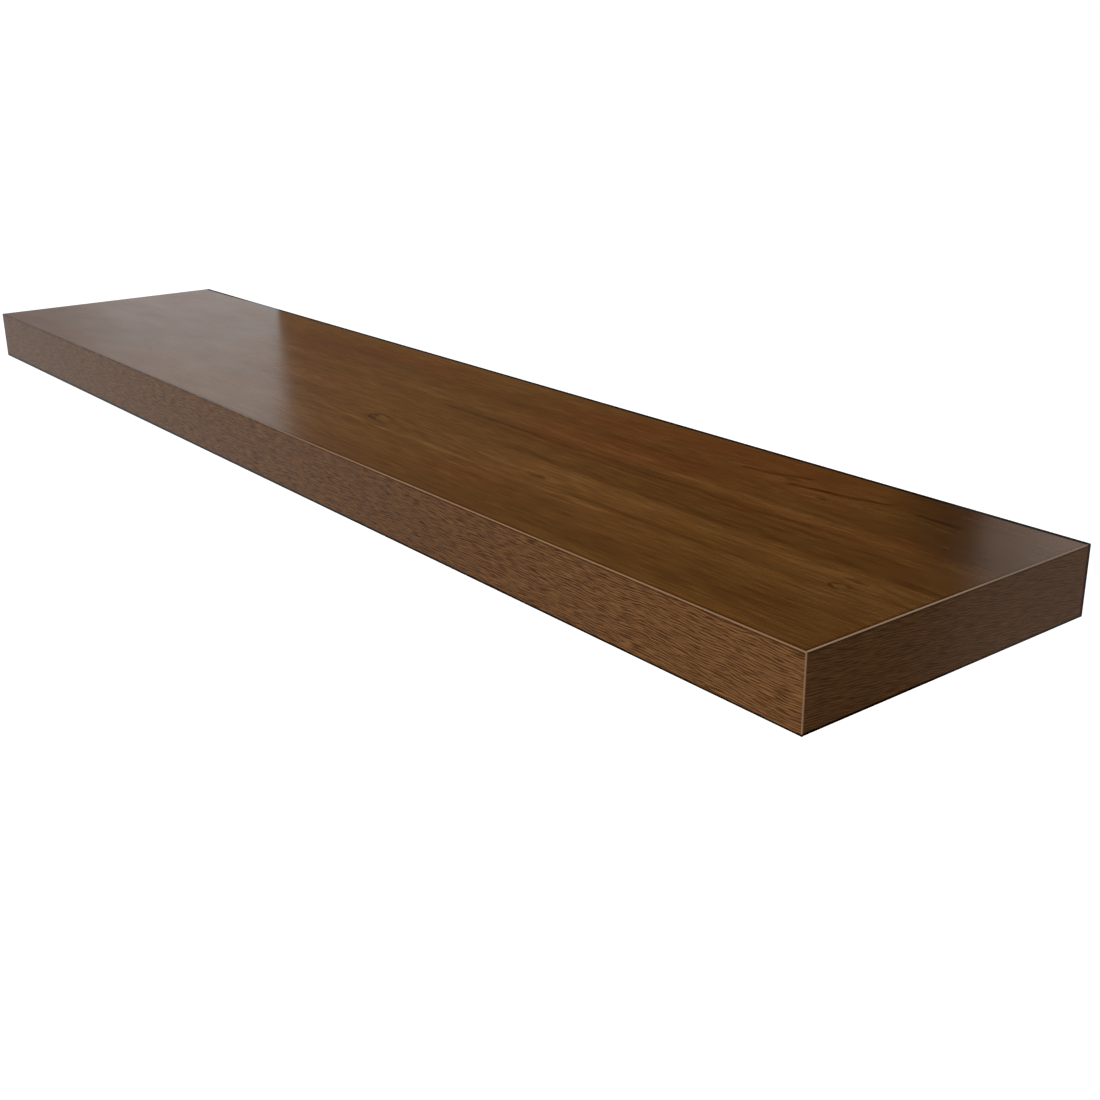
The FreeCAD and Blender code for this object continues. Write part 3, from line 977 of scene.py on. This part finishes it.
POWDER_COAT = TwoTone(
    name="powder_coat",
    dark=paint(42, 42, 45),
    light=paint(64, 64, 66),
    patches=Layer(60, 25, 60, detail=3),
    texture=Layer(1111.1, 1111.1, 1111.1, detail=1),
    roughness=0.36,
    depth=0.00012,
    step=(0.52, 0.75),
    light_share=0.6,
    patches_roughness=0.2,
)
COATED_WELD = replace(
    POWDER_COAT,
    name="coated_weld",
    dark=paint(40, 40, 43),
    light=paint(60, 60, 62),
    texture=Layer(1428.6, 1428.6, 1428.6, detail=1),
    roughness=0.4,
)


# --- Geometry Nodes ------------------------------------------------------------------------------------


class PatternTree(Nodes):
    """A Geometry Nodes tree with named inputs, run once to make a plain mesh."""

    def __init__(self, name: str, inputs: dict[str, float | int]) -> None:
        """Makes the tree and its inputs.

        Args:
            name: The tree's name.
            inputs: Each input's name and value. A whole number makes an integer socket.
        """
        group = bpy.data.node_groups.new(name, "GeometryNodeTree")
        super().__init__(group)
        group.interface.new_socket("Geometry", in_out="OUTPUT", socket_type="NodeSocketGeometry")
        self.inputs = inputs
        self.identifiers: dict[str, str] = {}
        for title, value in inputs.items():
            kind = "NodeSocketInt" if isinstance(value, int) else "NodeSocketFloat"
            socket = group.interface.new_socket(title, in_out="INPUT", socket_type=kind)
            self.identifiers[title] = socket.identifier
        self.entry = self.node("NodeGroupInput")

    def given(self, title: str) -> Number:
        """One of the tree's inputs."""
        return Number(self, self.entry.outputs[title])

    def run(self, name: str, result: Socket, material: Material) -> Object:
        """Ends the tree, runs it and keeps its result as a plain mesh.

        Args:
            name: The new object's name.
            result: The geometry that the tree made, which may hold instances.
            material: What the mesh is dressed in.

        Returns:
            The finished object, at the origin.
        """
        real = self.node("GeometryNodeRealizeInstances", inputs={0: result}).outputs[0]
        dressed = self.node("GeometryNodeSetMaterial", inputs={"Geometry": real, "Material": material})
        self.node("NodeGroupOutput", inputs={0: dressed.outputs[0]})
        holder = add_object(name + "_tree", bpy.data.meshes.new(name + "_tree"))
        modifier = holder.modifiers.new(name, "NODES")
        modifier.node_group = self.tree
        for title, value in self.inputs.items():
            modifier[self.identifiers[title]] = value
        graph = bpy.context.evaluated_depsgraph_get()
        mesh = bpy.data.meshes.new_from_object(holder.evaluated_get(graph))
        holder.modifiers.remove(modifier)
        bpy.data.objects.remove(holder)
        mesh.name = name
        point_outwards(mesh)
        return add_object(name, mesh)


def point_outwards(mesh: bpy.types.Mesh) -> None:
    """Merges a mesh's doubles and turns its faces outwards.

    Args:
        mesh: The mesh, which is changed.
    """
    shape = bmesh.new()
    shape.from_mesh(mesh)
    bmesh.ops.remove_doubles(shape, verts=shape.verts, dist=MERGE_DISTANCE)
    bmesh.ops.recalc_face_normals(shape, faces=shape.faces)
    shape.to_mesh(mesh)
    shape.free()


# --- The shelf's sub-assemblies ------------------------------------------------------------------------


def dress(material: Material, *nodes: str) -> None:
    """Gives CAD nodes a finish and reports them.

    Args:
        material: The finish.
        nodes: The nodes' names.
    """
    for name in nodes:
        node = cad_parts[name]
        if not node.material_slots:
            node.data.materials.append(material)
        for slot in node.material_slots:
            slot.material = material
        LOG.info("%s: %s", name, material.name)


@dataclass
class Faces:
    """The two faces of the board."""

    bottom_finish: TwoTone = BACKING_LAMINATE
    skin_finish: TwoTone = FIBREBOARD

    def dress(self) -> None:
        """Dresses the laminates and the skins under them."""
        dress(WalnutLaminate(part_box("top_laminate")).material(), "top_laminate")
        dress(self.bottom_finish.material(), "bottom_laminate")
        dress(self.skin_finish.material(), "top_skin", "bottom_skin")


@dataclass
class Core:
    """The frame, the ribs and the honeycomb between the faces."""

    rib_count: int = 4
    bay_count: int = 5
    board_finish: Particleboard = Particleboard()
    paper_finish: TwoTone = KRAFT_PAPER

    def dress(self) -> None:
        """Dresses the rails, the ribs and the honeycomb."""
        rails = ("front_rail", "back_rail", "left_end_rail", "right_end_rail")
        dress(self.board_finish.material(), *rails, *numbered("rib", self.rib_count))
        dress(self.paper_finish.material(), *numbered("honeycomb", self.bay_count))


@dataclass
class EdgeBands:
    """The embossed bands on the front and the two ends."""

    front: EmbossedBand = EmbossedBand(
        name="front_band",
        grain=Grain.ALONG_SHELF,
        slope=0.02,
        contrast=1.45,
        dim=(0.29, 0.07),
        core=paint(134, 100, 72),
        bare=(-0.20, 0.24),
        shaded_bottom=(0.0036, 0.0018),
        dark_side=0.0028,
    )
    ends: EmbossedBand = EmbossedBand(
        name="end_band",
        grain=Grain.ALONG_DEPTH,
        slope=0.12,
        contrast=0.85,
        dim=(0.11, 0.11),
        core=paint(160, 131, 107),
        bare=(-0.7, -0.65),
        shaded_bottom=(0.0023, 0.0023),
        dark_side=0.0040,
    )

    def dress(self) -> None:
        """Dresses the three bands, each with its own run of grain."""
        _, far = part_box("front_edge_band")
        dress(self.front.material(far), "front_edge_band")
        dress(self.ends.material(far), "left_edge_band", "right_edge_band")


@dataclass
class Locks:
    """The two set screws under the shelf and the threaded inserts that hold them."""

    insert_finish: TwoTone = BRASS
    screw_finish: TwoTone = BLACK_OXIDE

    def dress(self) -> None:
        """Dresses the inserts and the set screws."""
        dress(self.insert_finish.material(), "left_lock_insert", "right_lock_insert")
        dress(self.screw_finish.material(), "left_lock_screw", "right_lock_screw")


@dataclass
class Bracket:
    """The hidden steel bracket: a wall rail, four rods and the weld beads at their roots.

    Attributes:
        ripples: How many ripples a bead has.
        points_a_ripple: How many steps make a ripple.
        section_points: How many points the bead's section has.
        ripple_depth: How much thinner a ripple gets at its end, as a share.
        ripple_sizes: How thick the thinnest and the thickest ripple are, as a share.
        sunk_share: How far the bead's middle stands from the rod and the rail, as a share of its leg.
        section_share: The radius of its section, as a share of its leg.
    """

    rod_count: int = 4
    ripples: int = 26
    points_a_ripple: int = 5
    section_points: int = 12
    ripple_depth: float = 0.30
    ripple_sizes: Span = (0.9, 1.0)
    bead_seed: int = 4
    sunk_share: float = 0.36
    section_share: float = 0.62
    finish: TwoTone = POWDER_COAT
    bead_finish: TwoTone = COATED_WELD

    def dress(self) -> None:
        """Dresses the wall rail and the rods."""
        dress(self.finish.material(), "wall_rail", *numbered("rod", self.rod_count))

    def build(self) -> None:
        """Makes the rippled weld beads, one piece for all the rods."""
        low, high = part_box("rod_1")
        next_low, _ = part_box("rod_2")
        weld_low, weld_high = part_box("weld_1")
        rod_radius = (high.x - low.x) / 2
        tree = PatternTree(
            "weld_beads",
            {
                "Rod Count": self.rod_count,
                "First Rod": (low.x + high.x) / 2,
                "Rod Spacing": next_low.x - low.x,
                "Rod Radius": rod_radius,
                "Rail Face": weld_high.y,
                "Leg": (weld_high.x - weld_low.x) / 2 - rod_radius,
                "Ripples": self.ripples,
                "Ripple Depth": self.ripple_depth,
                "Seed": self.bead_seed,
            },
        )
        beads = tree.run("weld_beads", self._beads(tree), self.bead_finish.material())
        beads.data.shade_smooth()
        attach(beads, "bracket")
        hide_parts(*numbered("weld", self.rod_count))
        LOG.info("weld_beads: %d ripples round each of %d rods", self.ripples, self.rod_count)

    def _beads(self, tree: PatternTree) -> Socket:
        """Sweeps a rippled bead round a rod's root, and puts one at every rod.

        Args:
            tree: The tree under construction.

        Returns:
            The beads as instances.
        """
        leg = tree.given("Leg")
        sunk = leg * self.sunk_share
        points = float(self.points_a_ripple)
        low, high = self.ripple_sizes
        steps = tree.given("Ripples") * points
        ring = tree.node(
            "GeometryNodeCurvePrimitiveCircle",
            inputs={"Resolution": steps, "Radius": tree.given("Rod Radius") + sunk},
        ).outputs[0]
        index = Number(tree, tree.node("GeometryNodeInputIndex").outputs[0])
        within = tree.maths("MODULO", index, points) / points
        which = tree.maths("FLOOR", index / points)
        uneven = tree.node(
            "FunctionNodeRandomValue",
            inputs={"Min": low, "Max": high, "ID": which, "Seed": tree.given("Seed")},
        ).outputs[1]
        swell = (1 - within * tree.given("Ripple Depth")) * Number(tree, uneven)
        section = tree.node(
            "GeometryNodeCurvePrimitiveCircle",
            inputs={"Resolution": self.section_points, "Radius": leg * self.section_share},
        ).outputs[0]
        bead = tree.node(
            "GeometryNodeCurveToMesh", inputs={"Curve": ring, "Profile Curve": section, "Scale": swell}
        ).outputs[0]
        upright = tree.node(
            "GeometryNodeTransform",
            inputs={"Geometry": bead, "Rotation": Euler((math.pi / 2, 0, 0))},
        ).outputs[0]
        places = tree.node(
            "GeometryNodeMeshLine",
            inputs={
                "Count": tree.given("Rod Count"),
                "Start Location": tree.point(tree.given("First Rod"), tree.given("Rail Face") - sunk),
                "Offset": tree.point(tree.given("Rod Spacing"), 0.0),
            },
        ).outputs[0]
        return tree.node(
            "GeometryNodeInstanceOnPoints", inputs={"Points": places, "Instance": upright}
        ).outputs[0]


# --- The studio ----------------------------------------------------------------------------------------


@dataclass
class ViewCamera:
    """The camera that takes the picture.

    Attributes:
        place: Where it stands.
        azimuth: Degrees round the shelf: 0 looks along +Y and 90 along -X.
        elevation: Degrees above the horizon.
        roll: Degrees that it leans to the right.
        focal_pixels: Focal length in pixels of the picture.
    """

    place: Place = (1.04624, -0.75737, 0.31777)
    azimuth: float = 52.038
    elevation: float = 19.973
    roll: float = -0.57
    focal_pixels: float = 1419.38

    def build(self) -> None:
        """Makes the camera and gives it to the scene."""
        turn, rise = math.radians(self.azimuth), math.radians(self.elevation)
        back = Vector((math.sin(turn) * math.cos(rise), -math.cos(turn) * math.cos(rise), math.sin(rise)))
        level = (-back).to_track_quat("-Z", "Y").to_matrix().to_4x4()
        lean = Matrix.Rotation(math.radians(self.roll), 4, "Z")
        data = bpy.data.cameras.new("camera")
        data.sensor_width = SENSOR_WIDTH
        data.lens = self.focal_pixels * SENSOR_WIDTH / PICTURE_PIXELS
        camera = add_object("camera", data)
        camera.matrix_world = Matrix.Translation(self.place) @ level @ lean
        bpy.context.scene.camera = camera
        LOG.info("camera: %.1f mm lens", data.lens)


@dataclass(frozen=True)
class Card:
    """An upright card that satin surfaces mirror.

    Attributes:
        name: Its name.
        left: Where it starts along X.
        right: Where it ends along X.
        left_strength: How bright it is at the left.
        right_strength: How bright it is at the right.
        change: Where along X it goes from one to the other.
        fall: How much dimmer it gets with each metre of height.
        back: Its place along Y.
        heights: Its lower and upper edge.
        tint: Its colour.
    """

    name: str
    left: float
    right: float
    left_strength: float
    right_strength: float
    change: Span = (0.0, 1.0)
    fall: float = 0.0
    back: float = 0.235
    heights: Span = (-0.3, 0.7)
    tint: Colour = (1.10, 0.96, 0.88, 1.0)


@dataclass(frozen=True)
class Sun:
    """A soft distant lamp that satin surfaces don't mirror.

    Attributes:
        name: Its name.
        strength: Its strength, in watts to the square metre.
        aim: The way that its light goes.
        spread: How wide it looks, in degrees.
    """

    name: str
    strength: float
    aim: Place
    spread: float = 28.0


@dataclass
class Studio:
    """A plain pale floor, soft lamps and what the satin surfaces mirror.

    Attributes:
        grit: The floor's texture, whose weight is how much darker it gets.
        floor_lift: How much whiter the floor is where it is seen than where it lights the shelf.
        sky: How much the surround lights the shelf.
        tent_gap: How high up the tent goes from the brightness of its bearing to black.
        tent_cap: How high up and how far down it goes on to the brightness overhead.
        around: What the surfaces mirror at each bearing. A bearing is in degrees, from 0 at -X to 90 at +Y.
        flag_share: How much light the flag takes.
    """

    floor_level: float = -1.8
    floor_size: float = 60.0
    floor_shade: float = 0.55
    floor_lift: float = 0.85
    grit: Layer = Layer(40, 40, weight=0.02)
    sky: float = 0.27
    key_power: float = 66.0
    key_size: float = 1.4
    key_place: Place = (-1.2, -0.4, 2.4)
    suns: tuple[Sun, ...] = (
        Sun("fill", 2.5, (-0.2, 0.97, -0.15)),
        Sun("rim", 0.8, (0.45, -0.8, -0.4)),
        Sun("lift", 1.1, (0.1, 0.1, 1.0)),
    )
    tent_radius: float = 20.0
    tent_fineness: int = 5
    tent_tint: Colour = (0.92, 1.0, 1.04, 1.0)
    tent_gap: Span = (0.36, 0.50)
    tent_cap: Span = (0.75, 0.95)
    overhead: float = 0.45
    around: tuple[Span, ...] = (
        (-180, 0.25), (-120, 0.30), (-100, 0.20), (-60, 0.02), (-37, 0.01),
        (-32, 0.12), (-29, 0.28), (-27, 0.37), (-24, 0.44), (-6, 0.48),
        (2, 0.22), (14, 0.06), (27, 0.06), (36, 0.03), (44, 0.01),
        (56, 0.0), (132, 0.0), (150, 0.10), (180, 0.25),
    )
    cards: tuple[Card, ...] = (
        Card(
            name="left_card",
            left=-4.0,
            right=-0.533,
            left_strength=0.44,
            right_strength=0.63,
            change=(-1.42, -0.95),
            fall=0.50,
            back=0.054,
            tint=(0.88, 1.0, 1.08, 1.0),
        ),
        Card(
            name="right_card",
            left=0.373,
            right=0.60,
            left_strength=0.32,
            right_strength=0.56,
            change=(0.39, 0.47),
        ),
        Card(name="end_card", left=0.60, right=0.86, left_strength=0.29, right_strength=0.29),
    )
    flag_height: float = 0.084
    flag_share: float = 0.9
    flag_corners: tuple[Span, ...] = (
        (0.424, 0.005),
        (0.478, -0.070),
        (0.534, -0.108),
        (0.600, -0.125),
        (0.600, 0.005),
    )

    def build(self) -> None:
        """Makes the world, the floor, the lamps, the tent, the cards and the flag."""
        self._world()
        self._floor()
        self._key()
        for sun in self.suns:
            self._sun(sun)
        self._tent()
        for card in self.cards:
            self._card(card)
        self._flag()
        bpy.context.scene.view_settings.view_transform = "Standard"
        LOG.info("studio: floor, key, %d suns, tent, %d cards and flag", len(self.suns), len(self.cards))

    def _seen(self, nodes: Nodes) -> Number:
        """Tells the rays that see a thing from the rays that light the shelf.

        Args:
            nodes: The tree to add to.

        Returns:
            1 for a camera, glossy or transmission ray, and 0 for the others.
        """
        path = nodes.node("ShaderNodeLightPath").outputs
        seen = Number(nodes, path["Is Camera Ray"]) + Number(nodes, path["Is Glossy Ray"])
        return nodes.maths("MINIMUM", seen + Number(nodes, path["Is Transmission Ray"]), 1.0)

    def _world(self) -> None:
        """A white surround that lights the shelf only softly."""
        world = bpy.data.worlds.new("surround")
        world.use_nodes = True
        bpy.context.scene.world = world
        nodes = Nodes(world.node_tree)
        nodes.tree.nodes.clear()
        strength = self._seen(nodes).between(self.sky, 1)
        light = nodes.node("ShaderNodeBackground", inputs={"Color": grey(1.0), "Strength": strength})
        nodes.node("ShaderNodeOutputWorld", inputs={"Surface": light.outputs[0]})

    def _floor(self) -> None:
        """A pale floor far below the shelf, which the camera sees as white."""
        shader = Shader("floor")
        x, y, _ = shader.place()
        darker = grey(self.floor_shade * (1 - self.grit.weight))
        colour = shader.mix(shader.noise(self.grit, x, y), grey(self.floor_shade), darker)
        material = shader.finish(
            base_color=colour,
            roughness=1.0,
            specular_ior_level=0.0,
            emission_color=shader.mix(self._seen(shader) * self.floor_lift, grey(0.0), grey(1.0)),
            emission_strength=1.0,
        )
        material.cycles.emission_sampling = "NONE"
        half = self.floor_size / 2
        corners = [(-half, -half), (half, -half), (half, half), (-half, half)]
        floor = self._sheet("floor", [(x, y, self.floor_level) for x, y in corners], material)
        hide_from(floor, "glossy", "shadow")

    def _key(self) -> None:
        """A big soft lamp above the shelf's left end, which satin surfaces don't mirror."""
        data = bpy.data.lights.new("key", "AREA")
        data.energy = self.key_power
        data.size = self.key_size
        lamp = add_object("key", data)
        lamp.location = self.key_place
        lamp.rotation_euler = (-Vector(self.key_place)).to_track_quat("-Z", "Y").to_euler()
        hide_from(lamp, "glossy")

    def _sun(self, sun: Sun) -> None:
        """Makes one of the distant lamps.

        Args:
            sun: The lamp.
        """
        data = bpy.data.lights.new(sun.name, "SUN")
        data.energy = sun.strength
        data.angle = math.radians(sun.spread)
        lamp = add_object(sun.name, data)
        lamp.rotation_euler = Vector(sun.aim).to_track_quat("-Z", "Y").to_euler()
        hide_from(lamp, "glossy")

    def _sheet(self, name: str, corners: list[Place], material: Material) -> Object:
        """Makes a flat sheet.

        Args:
            name: Its name.
            corners: Its corners, in order round it.
            material: Its finish.

        Returns:
            The sheet.
        """
        mesh = bpy.data.meshes.new(name)
        mesh.from_pydata(corners, [], [tuple(range(len(corners)))])
        mesh.materials.append(material)
        return add_object(name, mesh)

    def _only_mirrored(self, card: Object) -> None:
        """Makes a card show only in reflections.

        Args:
            card: The card or tent.
        """
        hide_from(card, "camera", "diffuse", "transmission", "volume_scatter", "shadow")
        card.active_material.cycles.emission_sampling = "NONE"

    def _tent(self) -> None:
        """A round tent that satin surfaces mirror, bright overhead and straight below."""
        shader = Shader("tent")
        x, y, z = shader.place()
        bearing = shader.maths("ARCTAN2", y, 0.0 - x) * math.degrees(1)
        stops = [((place + 180) / 360, grey(level)) for place, level in self.around]
        colour = shader.ramp((bearing + 180) / 360, stops)
        rise = z / self.tent_radius
        colour = shader.mix(shader.fade(rise, *self.tent_gap), colour, grey(0.0))
        colour = shader.mix(shader.fade(abs(rise), *self.tent_cap), colour, grey(self.overhead))
        colour = shader.mix(1.0, colour, self.tent_tint, Blend.MULTIPLY)
        mesh = bpy.data.meshes.new("tent")
        shape = bmesh.new()
        bmesh.ops.create_icosphere(shape, subdivisions=self.tent_fineness, radius=self.tent_radius)
        shape.to_mesh(mesh)
        shape.free()
        mesh.materials.append(shader.glow(colour))
        self._only_mirrored(add_object("tent", mesh))

    def _card(self, card: Card) -> None:
        """Makes an upright card behind the shelf, seen only in its satin surfaces.

        Args:
            card: The card.
        """
        shader = Shader(card.name)
        x, _, z = shader.place()
        strength = shader.fade(x, *card.change).between(card.left_strength, card.right_strength)
        material = shader.glow(shader.mix(strength - z * card.fall, grey(0.0), card.tint))
        low, high = card.heights
        corners = [(card.left, low), (card.right, low), (card.right, high), (card.left, high)]
        self._only_mirrored(self._sheet(card.name, [(x, card.back, z) for x, z in corners], material))

    def _flag(self) -> None:
        """A thin flag close above the shelf's right end, which only takes some of the key lamp off it."""
        shader = Shader("flag")
        clear = shader.node("ShaderNodeBsdfTransparent").outputs[0]
        black = shader.node("ShaderNodeBsdfDiffuse", inputs={"Color": grey(0.0)}).outputs[0]
        gauze = shader.node("ShaderNodeMixShader", inputs={0: self.flag_share, 1: clear, 2: black})
        corners = [(x, y, self.flag_height) for x, y in self.flag_corners]
        flag = self._sheet("flag", corners, shader.end_with(gauze.outputs[0]))
        hide_from(flag, "camera", "diffuse", "glossy", "transmission")


def main() -> None:
    """Dresses the frame, builds the extra pieces and sets up the studio."""
    logging.basicConfig(level=logging.INFO, format="%(name)s: %(message)s")
    ViewCamera().build()
    Faces().dress()
    Core().dress()
    EdgeBands().dress()
    Locks().dress()
    bracket = Bracket()
    bracket.dress()
    bracket.build()
    Studio().build()


if __name__ == "__main__":
    main()
